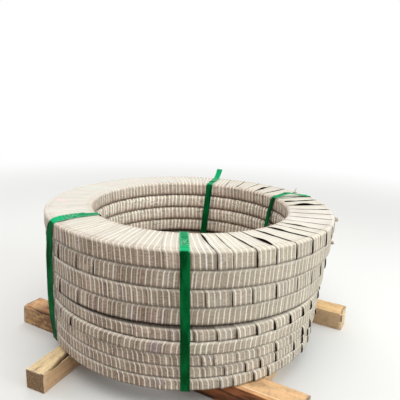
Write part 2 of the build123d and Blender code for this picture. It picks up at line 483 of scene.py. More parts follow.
def paint_tapes(g):
    """Tapes that differ in colour and are a little stained, and their threads."""
    shade, plum = g.varied(g.number * 3.0, 21.0), g.varied(g.number * 11.0, 61.0)
    g.color = g.mix(shade.ramp(0.38, 0.62), linear(136, 113, 97), linear(190, 168, 148))
    g.paint(g.rosy.ramp(0.52, 0.70, 0.0, 0.46), 190, 148, 140)
    g.paint(g.green.ramp(0.54, 0.66, 0.0, 0.45), 166, 158, 126)
    g.paint(plum.ramp(0.54, 0.66, 0.0, 0.60), 150, 134, 144)
    g.paint(g.cloudy.ramp(0.35, 0.7, 0.0, 0.3), 140, 122, 104)
    g.paint(g.weave.ramp(-0.4, 0.4, 0.0, 0.20), 116, 99, 82)
    g.paint(g.slub.ramp(0.48, 0.70, 0.0, 0.40), 100, 83, 67)
    g.paint(g.slub.ramp(0.30, 0.46, 0.26, 0.0), 224, 212, 196)


def paint_sides(g):
    """A painted sheen of light pales the right, the far left is greyer, and the bore is browner."""
    # Painted sheen: the right side is mixed paler, as light from the right reflects off it
    g.paint(g.out.ramp(0.06, 0.32, 0.0, 0.46), 196, 188, 169)
    g.paint(g.out.ramp(-0.34, -0.12, 0.30, 0.0), 180, 172, 164)
    g.paint(g.in_bore * 0.46, 184, 136, 104)
    # Printing shows through at the left end, rose and pale green
    printed = g.out.ramp(-0.19, -0.11, 1.0, 0.0) * g.high.ramp(0.30, 0.33)
    printed = printed * g.back.ramp(-0.28, -0.20, 1.0, 0.0)
    g.paint(printed * g.rosy.ramp(0.46, 0.56, 0.0, 0.55), 244, 160, 170)
    g.paint(printed * g.green.ramp(0.46, 0.56, 0.0, 0.55), 168, 214, 188)


def paint_stripes(g):
    """Pale stripes, and a fainter line between some of them, with thick threads across them."""
    thin = g.varied((g.tape + 0.5).do("FLOOR"), 71.0).ramp(0.46, 0.62, 0.0, 0.36)
    g.paint(thin * g.off_stripe.ramp(0.42, 0.48), 220, 208, 190)
    g.paint(g.stripe, 234, 226, 212)
    g.paint(g.slub.ramp(0.50, 0.72, 0.0, 0.16), 112, 96, 80)


def paint_top(g):
    """The top face is paler with a painted sheen of light from above, with pink, green and darker
    bands between the stripes at its left.
    """
    left = g.out.ramp(-0.30, -0.05, 1.0, 0.0)
    # Painted sheen: the top face is mixed paler, as light from above falls on it
    g.paint(g.upward * (0.54 + left * 0.12), 234, 231, 218)
    g.paint(g.upward * (g.rosy.ramp(0.50, 0.64, 0.0, 0.18) * left), 240, 196, 200)
    g.paint(g.upward * (g.green.ramp(0.46, 0.58, 0.10, 0.48) * left), 214, 226, 214)
    spots = g.noise(g.here.scaled(34.0, 60.0, 34.0)).ramp(0.56, 0.66, 0.0, 0.5)
    spots = spots * g.out.ramp(-0.26, -0.15, 1.0, 0.0)
    g.paint(g.upward * spots, 255, 200, 208)
    g.paint(g.upward * (g.stripe.ramp(0.0, 0.6, 0.26, 0.0) * left), 150, 138, 124)


def paint_bore(g):
    """The bore is crumpled and dented, with painted shade and painted highlights on its folds, faintly
    pink, and painted as lit from above.
    """
    # Painted shade in the crumples and dents, and painted highlights on them
    g.paint(g.in_bore * g.crumple.ramp(0.54, 0.66, 0.0, 0.60), 104, 84, 62)
    g.paint(g.in_bore * g.crumple.ramp(0.36, 0.46, 0.50, 0.0), 244, 236, 216)
    g.paint(g.dent * g.fold.ramp(0.50, 0.60, 0.0, 0.80), 92, 66, 46)
    g.paint(g.dent * g.fold.ramp(0.38, 0.48, 0.70, 0.0), 252, 244, 226)
    g.paint(g.in_bore * g.cloudy.ramp(0.50, 0.66, 0.0, 0.30), 214, 150, 138)
    # Painted light: each turn in the bore is brightest below its upper rim; painted shade dulls it at
    # the right and low down
    lit = g.in_bore * g.down.ramp(-0.9, 0.9, 0.88, 0.48) * (0.38 + g.stripe * 0.92)
    g.paint(lit * g.down.ramp(-1.0, -0.7, 0.35, 1.0), 255, 250, 234)
    bore_shade = g.in_bore * g.out.ramp(-0.02, 0.14, 0.0, 0.34) * (1.0 - g.stripe * 0.7)
    g.paint(bore_shade, 86, 62, 42)
    g.paint(g.in_bore * g.down.ramp(0.1, 1.0, 0.0, 0.46), 124, 92, 64)


def paint_rims(g):
    """The outside is darker low down, as painted shade, and pale along its upper rims, as a painted
    highlight.
    """
    # Painted shade on each row low down
    low_down = g.down.ramp(0.45, 1.0, 0.0, 0.50) * (1.0 - g.in_bore * 0.8)
    g.paint(low_down, 64, 48, 36)
    # Painted highlight along each row's upper rim
    rim_highlight = g.down.ramp(-1.0, -0.62, 0.55, 0.0) * g.high.ramp(0.345, 0.355, 1.0, 0.4)
    g.paint(rim_highlight * (1.0 - g.in_bore), 240, 230, 214)
    # A haze of clear film lies over the upper edge at the left
    haze = g.out.ramp(-0.34, -0.14, 1.0, 0.0) * g.high.ramp(0.325, 0.355)
    haze = haze * g.cloudy.ramp(0.30, 0.60, 0.30, 0.66) * g.down.ramp(-0.7, -0.05, 1.0, 0.25)
    g.paint(haze, 219, 217, 211)


def paint_gaps(g, tucked, lining):
    """Painted shade between the rows, painted shadow where a turn is tucked in, and painted shade on
    the ribbon's lining.
    """
    # Painted shade between the rows: dark outside, browner in the bore
    g.paint(g.seam, g.mix(g.in_bore, linear(38, 22, 11), linear(124, 84, 60)))
    # Painted shadow where a turn is tucked in under the next turn's free edge
    g.paint(tucked, 36, 21, 11)
    # Film lies over the turns at the right of the top coil
    azimuth = (g.back - axis[1]).do("ARCTAN2", g.out - axis[0])
    film = azimuth.ramp(-0.07, 0.0) * azimuth.ramp(0.42, 0.52, 1.0, 0.0)
    film = film * g.high.ramp(0.333, 0.345) * (0.62 + tucked * 0.24)
    g.paint(film, g.mix(g.cloudy.ramp(0.35, 0.65), linear(208, 197, 188), linear(224, 215, 208)))
    # Painted shade: the ribbon's lining is dark, and shows dark through the gaps
    g.paint(lining, 30, 19, 12)


def wrap_material():
    """Woven ribbon: brown-grey tapes with pale stripes along it, with painted shadow where it is
    tucked in.
    """
    g = RibbonGraph()
    for paint in (paint_tapes, paint_sides, paint_stripes, paint_top, paint_bore, paint_rims):
        paint(g)
    # Painted shadow where the ribbon is tucked in under the next turn's free edge: dark where that
    # stands off, faint where it is close
    open_by = g.open_by.do("MAXIMUM", 0.0)
    reach = open_by * 0.55 + 0.5 * MM
    tucked = ((g.past + reach) / (reach * 0.7)).ramp(0.0, 1.0)
    tucked = tucked * open_by.ramp(0.0, 0.9 * MM, 0.14, 0.97)
    # Where the lining shows, it is painted dark as shade
    lining = g.across.ramp(0.5, 0.6)
    paint_gaps(g, tucked, lining)
    crease = g.noise(g.combine(g.across * 150.0, g.along * 22.0), 3.0)
    g.bump(crease, 0.8 * MM, 0.55)
    g.bump(g.crumple * g.in_bore, 3.0 * MM, 0.6)
    g.bump(g.fold * g.dent, 3.0 * MM, 0.8)
    g.bump(g.weave + g.weft.ramp(-1.0, 1.0), 0.10 * MM, 0.7)
    rough = crease.ramp(0.3, 0.7, 0.44, 0.60).do("MAXIMUM", tucked.do("MAXIMUM", lining))
    return g.finish(g.surface(rough, Specular_IOR_Level=0.08))


def strap_material():
    """Embossed green strapping, mottled where its two ends are welded together, with painted white
    glints there.
    """
    g = Graph(bpy.data.materials.new("strap"))
    across, along, _ = g.map("strap")
    welded, end, _ = g.map("weld")
    emboss = (along + across).wave(EMBOSS_PITCH).do("MAXIMUM", (along - across).wave(EMBOSS_PITCH))
    drift = g.noise(g.combine(across * 60.0, along * 16.0), 3.0)
    g.color = g.mix(drift.ramp(0.36, 0.64), linear(0, 62, 25), linear(4, 97, 48))
    # Both rims catch the light where the strap lies flat
    rim_highlight = across.do("ABSOLUTE").ramp(*PALE_RIM, 0.0, 0.6)
    g.paint(rim_highlight * g.facing_up(0.2), 140, 222, 182)
    # Lighter streaks along the strap: scratches, which also stand in as painted glints
    scratch_and_glint = g.noise(g.combine(across * 700.0, along * 30.0))
    g.paint(scratch_and_glint.ramp(0.62, 0.8, 0.0, 0.25), 50, 160, 104)
    patch = g.noise(g.combine(across * 260.0, along * 260.0), 3.0)
    g.paint(welded * 0.85, g.mix(patch.ramp(0.42, 0.58), linear(0, 104, 54), linear(16, 166, 98)))
    # Painted white glints on the weld
    g.paint(patch.ramp(0.56, 0.61) * welded, 226, 242, 234)
    # Painted light on the strap's top face, brightest past the weld towards its end
    g.paint(end * 0.75, 26, 186, 122)
    g.bump(emboss, 0.12 * MM, 0.6)
    g.bump((along.wave(WELD_PITCH) + patch) * welded, 0.4 * MM, 0.7)
    return g.finish(g.surface(scratch_and_glint.ramp(0.3, 0.8, 0.36, 0.52), Specular_IOR_Level=0.03))


class WoodGraph(Graph):
    """Shader nodes of a timber, with the place that its mesh tells them."""

    def __init__(self, name, seed):
        super().__init__(bpy.data.materials.new(f"wood_{name}"))
        self.length, self.width, _ = self.map("timber")
        self.height, self.on_end, _ = self.map("timber_end")
        self.here = self.combine(self.length + 1.7 * seed, self.width + 0.31 * seed, self.height)
        self.up = self.facing_up(0.3)

    def grain(self, lengthwise, crosswise, detail=2.0, rough=0.5):
        """Noise that is drawn out along the timber, or across it."""
        return self.noise(self.here.scaled(lengthwise, crosswise, crosswise), detail, rough)


def paint_rings(g, pith):
    """Growth rings round the pith, plainest on the ends."""
    off, deep = g.width - pith[0] * MM, g.height - pith[1] * MM
    bend = (g.grain(3.0, 22.0) - 0.5) * 0.011
    ring = ((off * off + deep * deep).do("SQRT") + bend).wave(RING_PITCH)
    rings = ring.ramp(-0.2, 0.9) * (0.14 + g.on_end * 0.5)
    g.paint(rings, g.mix(g.on_end, linear(150, 102, 60), linear(98, 70, 46)))


def paint_dirt(g, stained):
    """Stains, a few knots, dirt and grit."""
    g.paint(g.grain(9.0, 24.0, 4.0).ramp(0.52, 0.78, 0.0, 0.5), 104, 78, 54)
    knot = g.cells(g.here.scaled(6.5, 17.0, 17.0)).ramp(0.03, 0.10, 1.0, 0.0)
    g.paint(knot * 0.6, 96, 58, 32)
    g.paint(g.grain(30.0, 40.0, 5.0, 0.7).ramp(0.50, 0.68, 0.0, 0.40), 124, 84, 56)
    grit = g.grain(150.0, 300.0, 4.0, 0.7)
    g.paint(grit.ramp(0.52, 0.70, 0.0, 0.34), 130, 96, 64)
    g.paint(grit.ramp(0.34, 0.48, 0.16, 0.0), 250, 226, 190)
    g.paint(g.length.ramp(-0.374, -0.315) * g.length.ramp(-0.28, -0.2, stained, 0.0), 100, 60, 44)


def paint_wet_and_shaded_side(g, wet_and_shaded):
    """A wet side in painted shade is dark and red, its streaks partly painted glints, with a few dry
    streaks, and its upper edge is worn and orange.
    """
    inward = g.length.ramp(-0.16, 0.0) * (1.0 - g.on_end)
    streak = g.grain(13.0, 90.0, 4.0, 0.62)
    blotch = g.grain(40.0, 75.0, 4.0, 0.62).ramp(0.46, 0.60)
    dry = g.length.ramp(-0.33, -0.16, 0.6, 0.0) * (1.0 - g.on_end) * blotch
    g.paint(dry, g.mix(g.up, linear(218, 180, 124), linear(196, 122, 70)))
    # Wet, and in painted shade: the side is dark red, and its lighter streaks are partly painted
    # glints
    dark = g.mix(streak.ramp(0.40, 0.62), linear(58, 28, 15), linear(158, 92, 54))
    g.paint((1.0 - g.up) * inward * wet_and_shaded, dark)
    worn = g.mix(streak.ramp(0.42, 0.6), linear(178, 104, 56), linear(226, 166, 108))
    g.paint(g.up * inward * g.width.ramp(*WORN_BAND, 0.6, 0.0), worn)
    ridge = (g.width + WORN_RIDGE).do("ABSOLUTE").ramp(0.6 * MM, 2.2 * MM, 0.6, 0.0)
    g.paint(g.up * inward * ridge, 252, 226, 186)


def wood_material(name, seed, colors, pith, stained=0.0, wet_and_shaded=0.0, **_):
    """Rough sawn softwood: growth lines along the piece, rings on its ends, saw marks across it."""
    g = WoodGraph(name, seed)
    split, bare, _ = g.map("crack")
    top, side, end = (linear(*color) for color in colors)
    # Painted shade: the sides take a darker colour than the top
    g.color = g.mix(g.on_end, g.mix(g.up, side, top), end)
    paint_rings(g, pith)
    lines = g.grain(5.0, 150.0, 6.0, 0.68)
    g.paint(lines.ramp(0.52, 0.76, 0.0, 0.42), 126, 88, 54)
    g.paint(lines.ramp(0.3, 0.45, 0.30, 0.0), 244, 216, 164)
    paint_dirt(g, stained)
    if wet_and_shaded:
        paint_wet_and_shaded_side(g, wet_and_shaded)
    g.paint(bare * 0.7, 240, 222, 192)
    # Painted shade in the cracks
    g.paint(split, 42, 22, 12)
    fibre = g.grain(60.0, 700.0, 3.0)
    g.bump(lines, 0.8 * MM, 0.6)
    g.bump(g.grain(420.0, 14.0), 0.4 * MM, 0.5)
    g.bump(fibre, 0.3 * MM, 0.5)
    return g.finish(g.surface(fibre.ramp(0.3, 0.7, 0.68, 0.88), Specular_IOR_Level=0.22))


def steel_material():
    """Edges of tightly wound cold-rolled strip."""
    g = Graph(bpy.data.materials.new("strip_steel"))
    fine = g.noise(g.place().scaled(900.0, 900.0, 60.0))
    g.color = g.mix(fine, linear(150, 152, 154), linear(190, 192, 194))
    g.bump(fine, 0.1 * MM, 0.4)
    return g.finish(g.surface(fine.ramp(0.2, 0.8, 0.25, 0.42), Metallic=1.0))


# Coils, and the ribbon round them

def eased(values, times):
    """Values in a ring, each drawn towards its two neighbours some times over."""
    for _ in range(times):
        values = (np.roll(values, 1) + 2 * values + np.roll(values, -1)) / 4
    return values


def spread(chosen, value, times):
    """A value at the chosen places of a ring, easing off into the places beside them."""
    return eased(np.where(chosen, value, 0.0), times)


def signed(azimuth):
    """The same azimuth, from -180 to 180 degrees."""
    return (azimuth + 180) % 360 - 180


def within(azimuth, first, last):
    """Whether an azimuth lies between two others, anticlockwise from the first."""
    return (azimuth - first) % 360 < last - first


def direction(azimuth):
    """Level way out from the axis at an azimuth."""
    return np.array([math.cos(math.radians(azimuth)), math.sin(math.radians(azimuth))])


def running(steps):
    """Length gone before each step, and after the last."""
    return np.concatenate([[0], np.cumsum(steps)])


def section_outline(number, outer, bottom, top):
    """Places on a wrapped coil's section, from halfway up the outside, down and round.

    Each has its radius and height, the way that it faces, and its zone.
    """
    top_outside, top_bore = TOP_CORNERS.get(number, (OUTER_CORNER, BORE_CORNER))
    corners = [((outer, bottom), OUTER_CORNER), ((WRAPPED_BORE, bottom), BORE_CORNER),
               ((WRAPPED_BORE, top), top_bore), ((outer, top), top_outside)]
    ways = np.array([(1, 0), (0, -1), (-1, 0), (0, 1)])
    counts = [*PLACES[:TOP], TOP_PLACES.get(number, PLACES[TOP])]
    middle = np.array([outer, (bottom + top) / 2])
    points = []

    def run(start, end, zone):
        for share in np.arange(counts[zone]) / counts[zone]:
            points.append((*(start + (end - start) * share), *ways[zone], zone))

    start = middle
    for zone, (corner, reach) in enumerate(corners):
        facing, ahead = ways[zone], ways[(zone + 1) % 4]
        run(start, corner - ahead * reach, zone)
        centre = corner - (facing + ahead) * reach
        for step in range(PLACES[CORNER]):
            around = direction(-90 * (zone + step / PLACES[CORNER]))
            normal = around / reach
            points.append((*(centre + around * reach), *(normal / np.hypot(*normal)), CORNER))
        start = corner - facing * reach
    run(start, middle, OUTSIDE)
    return np.array(points)


class Coil:
    """A wrapped coil: its place and size, and the places down and round its section."""

    def __init__(self, number):
        low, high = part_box(f"wrap_{number}")
        self.number = number
        self.on_top = number == len(WOUND)
        self.centre = centre_of(f"wrap_{number}")
        self.outer = (high[0] - low[0]) / 2
        self.levels = (low[2], high[2])
        self.half = (high[2] - low[2]) / 2
        outline = section_outline(number, self.outer, *self.levels)
        self.radius, self.level, self.facing, self.rising = outline[:, :4].T
        self.zone = outline[:, 4].astype(int)
        # From -1 at the top face to 1 at the underside
        self.depth = ((low[2] + high[2]) / 2 - self.level) / self.half
        self.inside = self.radius < (WRAPPED_BORE + self.outer) / 2
        self.corner = self.zone == CORNER
        self.shoulder = self.corner & (self.facing > 0) & (self.rising > 0)


coils = [Coil(number) for number in range(1, len(WOUND) + 1)]


def turn_share(coil, hand):
    """How far round its turn the ribbon has gone at each place, leaning more on flat faces."""
    steps = np.hypot(np.roll(coil.radius, -1) - coil.radius, np.roll(coil.level, -1) - coil.level)
    lean = np.where(coil.shoulder, SHOULDER_LEANS[hand], LEANS[coil.zone])
    share, length = running(steps * lean), running(steps)
    return share[:-1] / share[-1], length[:-1], length[-1]


def free_edges(row, outer, rng):
    """Azimuth of every turn's free edge, in the direction of winding, and its lift."""
    hand = row["hand"]
    known = sorted((hand * azimuth, lift) for azimuth, lift in zip(row["edges"], row["lift"]))
    azimuths, lifts = [known[0][0]], [known[0][1]]
    usual = 360 / row["turns"]
    widest = math.degrees(WIDEST_TURN / outer)
    for (before, _), (after, lift) in zip(known, known[1:]):
        gap = after - before
        between = max(round(gap / usual), math.ceil(gap / widest))
        azimuths += [before + gap * k / between for k in range(1, between + 1)]
        lifts += [0.0] * (between - 1) + [lift]
    left = row["turns"] - len(azimuths) + 1
    start, rest = azimuths[-1], azimuths[0] + 360 - azimuths[-1]
    for k in range(1, left):
        azimuths.append(start + rest * (k + rng.uniform(-0.06, 0.06)) / left)
        # Turns that the photograph shows lying close have hardly any lift
        close = any(within(hand * azimuths[-1], *span)
                    for span in (CLOSE[hand], row.get("smooth", (0, 0))))
        lifts.append(rng.uniform(0, 0.12) if close else rng.choice([0.2, 0.5, 1.0, 1.6, 2.4]))
    # What a lift has above 3 mm counts half, and turns seen edge on at the right lie closer
    lifts = np.minimum(lifts, (np.array(lifts) + 3) / 2)
    azimuths = np.array(azimuths)
    lifts = lifts * np.interp(signed(hand * azimuths), [-30, 0, 40, 60], [1, 0.62, 0.62, 1])
    return azimuths, lifts * MM


def strap_relief(points, paths):
    """0 under a strap and 1 well away from it, for each of some points."""
    x, y, z = (points - [*axis, 0.0]).reshape(-1, 3).T
    relief = np.ones(x.size)
    for path in paths.values():
        cosine, sine = path["out"]
        out = x * cosine + y * sine
        side = y * cosine - x * sine
        chosen = np.nonzero((out > 0) & (np.abs(side - path["side"].mean()) < STRAP_SWAY))[0]
        for part in np.array_split(chosen, max(len(chosen) // 20000, 1)):
            away = (out[part, None] - path["place"][:, 0]) ** 2
            away += (z[part, None] - path["place"][:, 1]) ** 2
            off = np.abs(side[part] - path["side"][away.argmin(1)])
            near = np.clip((off - STRAP_HALF - STRAP_HOLD) / STRAP_EASE, 0, 1)
            relief[part] = np.minimum(relief[part], near)
    relief = relief.reshape(points.shape[:-1])
    return relief * relief * (3 - 2 * relief)


def seat_height(coil, hand, turns):
    """How far the ribbon lies off the wrap's face, at each place round and across it."""
    free = np.where(coil.corner, FREE_ON_CORNER, FREE_ON_FACE)
    tucked = eased(np.where(coil.corner, TUCKED_ON_CORNER, TUCKED_ON_FACE), 2)
    # Rows that are wound the other way lie smoother on the outside
    tucked = np.where((coil.zone == OUTSIDE) & (hand < 0), TUCKED_WHERE_SMOOTH, tucked)
    height = free[:, None] + (tucked - free)[:, None] * COLUMNS
    # In the bore the turns crowd and swell, with a groove at each free edge
    seen = 2 * math.pi * WRAPPED_BORE / (turns * RIBBON_WIDTH)
    swell = np.interp(COLUMNS, [0, 0.06, 0.3 * seen, 0.55 * seen, 0.85 * seen, seen, 1.0],
                      [-1.45, -0.85, -0.2, -0.15, -0.9, -1.9, -2.6]) * MM
    return np.where(coil.zone[:, None] == BORE, swell, height)


def top_stand(coil, round_about, few, smooth):
    """How far the top coil's turns stand off its top face, with a few small lifts all round."""
    stand = np.zeros_like(round_about)
    for where, reach, rise in TOP_LIFTS:
        shape = np.exp(-((signed(round_about - where) / TOP_LIFT_SPREAD) ** 2))
        shape = shape * np.exp(-(((coil.radius - reach * MM) / TOP_LIFT_REACH) ** 2))
        stand = np.maximum(stand, 1.3 * rise * MM * shape)
    over = np.clip((coil.radius - WRAPPED_BORE) / (coil.outer - WRAPPED_BORE), 0, 1)
    shown = within(round_about, *TOP_SHOWN) & ~within(round_about, *smooth)
    small = few * MM * np.sin(np.pi * over) ** 0.5 * np.where(shown, 1, 0.1)
    return np.maximum(stand, small) * (coil.zone == TOP)


def turn_stand(coil, row, lift, nearest, rng, round_about):
    """How far each turn's free edge stands off, most of all below the middle of the outside."""
    depth = np.clip(coil.depth * coil.half / (coil.half - LIFT_MARGIN), -1, 1)
    rise = np.clip(1 - depth**2, 0, 1) ** 0.65 * (1 + 0.7 * depth)
    upright = np.isin(coil.zone, (OUTSIDE, BORE, CORNER))
    stand = lift * rise * upright * np.where(coil.inside, BORE_LIFT, 1.0)
    if coil.on_top:
        few = rng.uniform(0.5, 1.6, row["turns"])[nearest]
        stand = stand + top_stand(coil, round_about, few, row["smooth"])
        # Lifted edges stay open as they come over the upper outside corner
        beside = np.clip((coil.radius - coil.outer) / SHOULDER_REACH + 1, 0, 1)
        beside = beside * (coil.zone == TOP)
        stand = np.maximum(stand, SHOULDER_LIFT * lift * (coil.shoulder + beside))
    return stand


def ripples(coil, nearest, length, waves):
    """Shallow waves on faces that show, other ones in each turn."""
    ripple = 0
    for wave, (pitch, slope) in zip(waves.T, RIPPLES):
        phase = wave[nearest][:, :, None] + 2 * math.pi * length[:, None] / pitch
        ripple = ripple + np.sin(phase + slope * COLUMNS) / len(RIPPLES)
    seen = np.isin(coil.zone, (OUTSIDE, BORE, TOP) if coil.on_top else (OUTSIDE, BORE))
    return RIPPLE * (ripple - 0.4) * seen[:, None]


def ribbon_shades(coil, round_about):
    """How dark the painted shade between the rows is, how much each place faces up, whether it is in
    the bore, and how low.
    """
    under, over = coil.zone == UNDERSIDE, coil.zone == TOP
    seam_shades = SEAM_SHADES.get(coil.number, USUAL_SEAM_SHADES)
    seam = np.maximum(spread(under, *seam_shades[0]), spread(over, *seam_shades[1]))
    # Shade spreads from the deep gap along the front and left, where the wide rows hang over
    slope, start = GAP_SHADE.get(coil.number, (0, 0))
    shade = np.where(under | over, 0, np.clip(slope * coil.depth + start, 0, 1))
    reach = np.interp((round_about + 90) % 360 - 90, [-60, -32, -10, 60, 120], [1, 0.35, 0, 0, 1])
    seam = np.maximum(seam, shade * reach)
    in_bore = (coil.inside & ~under & ~over) * (0.45 if coil.on_top else 1.0)
    down = np.where(under | over, 0.0, coil.depth)
    return {"tint": (seam[:, :, None], spread(over, 1.0, 3)[:, None]),
            "shade": (in_bore[:, None], down[:, None])}


def ribbon_turns(coil, row, paths):
    """Skin and lining of a whole ribbon: turn, place round the section, place across the ribbon."""
    hand, turns = row["hand"], row["turns"]
    share, length, loop = turn_share(coil, hand)
    rng = np.random.default_rng(100 + coil.number)
    edges, lifts = free_edges(row, coil.outer, rng)
    at = np.arange(turns)[:, None] + share
    wound = np.append(edges, edges[:2] + 360)
    edge, following = (np.interp(at + ahead, np.arange(turns + 2), wound) for ahead in (0, 1))
    # A turn's own lift and waves change over on its underside, where nothing shows
    nearest = np.floor(at + 0.75).astype(int) % turns
    azimuth = np.radians(edge)[:, :, None] + COLUMNS * RIBBON_WIDTH / coil.radius[:, None]
    azimuth = azimuth * hand
    round_about = np.degrees(azimuth[:, :, 0])
    stand = turn_stand(coil, row, lifts[nearest], nearest, rng, round_about)
    waves = rng.uniform(0, 2 * math.pi, (turns, 3))
    height = seat_height(coil, hand, turns) + ripples(coil, nearest, length, waves)
    height = np.minimum(height, FREE_ON_FACE) + stand[:, :, None] * (1 - COLUMNS) ** CURL

    def lay(height):
        """Points of a sheet at some height off the wrap's face."""
        out = coil.radius[:, None] + height * coil.facing[:, None]
        up = coil.level[:, None] + height * coil.rising[:, None]
        return np.stack([coil.centre[0] + out * np.cos(azimuth),
                         coil.centre[1] + out * np.sin(azimuth), up], -1)

    # The straps hold the ribbon's edges down
    held = 1 - strap_relief(lay(np.zeros_like(height)), paths)
    height = height - np.maximum(height - FREE_ON_FACE, 0) * held
    # How far each place lies past the next turn's free edge, and how far that edge stands off
    past = COLUMNS * RIBBON_WIDTH - (np.radians(following - edge) * coil.radius)[:, :, None]
    open_by = np.roll(stand, -1, axis=0)[:, :, None]
    run = np.arange(turns)[:, None] * loop + length
    maps = {"next": (past, open_by), **ribbon_shades(coil, round_about)}
    return lay(height), lay(height - RIBBON_THICKNESS), run, turns * loop, maps


def ribbon_mesh(coil, row, paths):
    """One coil's whole ribbon as a closed thin sheet."""
    skin, lining, run, whole, maps = ribbon_turns(coil, row, paths)
    shape = skin.shape[:3]
    across = shape[2]
    second = run.size * across
    here = np.arange(run.size)[:, None] * across
    following = np.roll(here, -1)
    left, right = np.arange(across - 1), np.arange(1, across)
    upper = np.stack([here + left, here + right, following + right, following + left], -1)
    upper = upper.reshape(-1, 4)
    free = np.hstack([here, following, following + second, here + second])
    tucked = np.hstack([here, here + second, following + second, following]) + across - 1
    faces = np.concatenate([upper, upper[:, ::-1] + second, free, tucked])
    if row["hand"] > 0:
        faces = faces[:, ::-1]

    def both_sides(first, other):
        """Two numbers for each vertex of the skin, and the same for the lining."""
        pair = [np.broadcast_to(value, shape).reshape(-1) for value in (first, other)]
        return np.tile(np.stack(pair, -1), (2, 1))

    # Places across and along the ribbon: the lining is set 1 m aside, and the last turn runs on
    place = both_sides(COLUMNS * RIBBON_WIDTH, run[:, :, None])
    place[second:, 0] += 1.0
    place = place[faces]
    along = place[:, :, 1]
    ends = along.max(1) - along.min(1) > whole / 2
    along[ends] = np.where(along[ends] < whole / 2, along[ends] + whole, along[ends])
    along += 7.3 * coil.number
    maps = {name: both_sides(*values) for name, values in maps.items()}
    vertices = np.concatenate([skin.reshape(-1, 3), lining.reshape(-1, 3)])
    return build_mesh(f"ribbon_{coil.number}", vertices, faces.tolist(), {"ribbon": place, **maps})


def build_mesh(name, vertices, faces, maps):
    """Smooth mesh, with maps of two numbers for each vertex or for each corner of its faces."""
    mesh = bpy.data.meshes.new(name)
    mesh.from_pydata(vertices.tolist(), [], faces)
    corners = np.empty(len(mesh.loops), np.int32)
    mesh.loops.foreach_get("vertex_index", corners)
    for key, values in maps.items():
        values = np.asarray(values, np.float32).reshape(-1, 2)
        if len(values) == len(vertices):
            values = values[corners]
        mesh.uv_layers.new(name=key).uv.foreach_set("vector", values.reshape(-1))
    mesh.polygons.foreach_set("use_smooth", np.ones(len(mesh.polygons), bool))
    mesh.validate()
    return mesh


def tube_faces(rings, size, closed=False):
    """Faces between rings of one size."""
    faces = []
    for ring in range(rings if closed else rings - 1):
        here, following = ring * size, (ring + 1) % rings * size
        for k in range(size):
            beside = (k + 1) % size
            faces.append((here + k, here + beside, following + beside, following + k))
    return faces


def thin_band(middle, half, closed=False):
    """Vertices and faces of a thin strip: each ring runs along its upper side and back below."""
    rings = np.concatenate([middle + half, (middle - half)[:, ::-1]], 1)
    rows, size = rings.shape[:2]
    faces = tube_faces(rows, size, closed)
    if not closed:
        for first, way in ((0, -1), ((rows - 1) * size, 1)):
            faces += [(first + k, first + k + 1, first + size - 2 - k, first + size - 1 - k)[::way]
                      for k in range(size // 2 - 1)]
    return rings.reshape(-1, 3), faces


# Straps

def turned(start, middle, end):
    """Positive where three places turn to the left."""
    first = (middle[0] - start[0]) * (end[1] - start[1])
    return first - (end[0] - start[0]) * (middle[1] - start[1])


def half_hull(points):
    """One side of the tightest outline round some places that are in order."""
    kept = []
    for point in points:
        while len(kept) > 1 and turned(kept[-2], kept[-1], point) <= 0:
            kept.pop()
        kept.append(point)
    return kept[:-1]


def strap_hull(strap):
    """Centres of the bends that a strap pulls against, anticlockwise from the lowest."""
    cosine, sine = direction(strap["azimuth"])
    lean = math.tan(math.radians(strap["drift"]))
    centres = []
    for coil in coils:
        slip_x, slip_y = coil.centre - axis
        along, across = slip_x * cosine + slip_y * sine, slip_y * cosine - slip_x * sine
        drifts = [abs((stack_top - level) * lean - across) for level in coil.levels]
        near = max(min(drifts) - STRAP_HALF, 0)
        far = max(drifts) + STRAP_HALF
        outer = along + math.sqrt(coil.outer**2 - near**2)
        inner = along + math.sqrt(WRAPPED_BORE**2 - far**2)
        for level in (coil.levels[0] + STRAP_BEND, coil.levels[1] - STRAP_BEND):
            centres += [(inner + STRAP_BEND, level), (outer - STRAP_BEND, level)]
    ordered = sorted(set(centres))
    return np.array(half_hull(ordered) + half_hull(ordered[::-1]))


def tight_line(hull):
    """Places along a strap's inner face, pulled tight round its bends, and which way each faces."""
    place, facing = [], []
    for k, here in enumerate(hull):
        before, after = hull[k - 1], hull[(k + 1) % len(hull)]
        first = math.atan2(*(here - before)[::-1]) - math.pi / 2
        last = math.atan2(*(after - here)[::-1]) - math.pi / 2
        while last < first - 1e-6:
            last += 2 * math.pi
        count = max(math.ceil(math.degrees(last - first) / BEND_STEP), 1)
        for angle in np.linspace(first, last, count + 1):
            normal = np.array([math.cos(angle), math.sin(angle)])
            place.append(here + (STRAP_BEND + STRAP_GAP) * normal)
            facing.append(normal)
        steps = max(int(np.hypot(*(after - here)) / STRAP_STEP), 1)
        for share in np.linspace(0, 1, steps + 1)[1:-1]:
            place.append(here + (STRAP_BEND + STRAP_GAP) * normal + (after - here) * share)
            facing.append(normal)
    return np.array(place), np.array(facing)


def soft_bend(place, facing, lift, length, whole):
    """Rounds a strap's line softly where it comes over the upper outside edge."""
    raised = place + facing * lift[:, None]
    span = (np.roll(length, -1) - np.roll(length, 1)) % whole
    away = np.abs(length[:, None] - length)
    away = np.minimum(away, whole - away)
    corner = ((place - place.max(0)) ** 2).sum(1)
    reach = SOFT_REACH * np.exp(-corner / SOFT_NEAR**2) + 0.2 * MM
    share = np.exp(-((away / reach[:, None]) ** 2)) * span
    soft = (share / share.sum(1)[:, None]) @ raised
    ahead = np.roll(soft, -1, 0) - np.roll(soft, 1, 0)
    ahead /= np.hypot(*ahead.T)[:, None]
    facing = np.stack([ahead[:, 1], -ahead[:, 0]], -1)
    return soft - facing * lift[:, None], facing


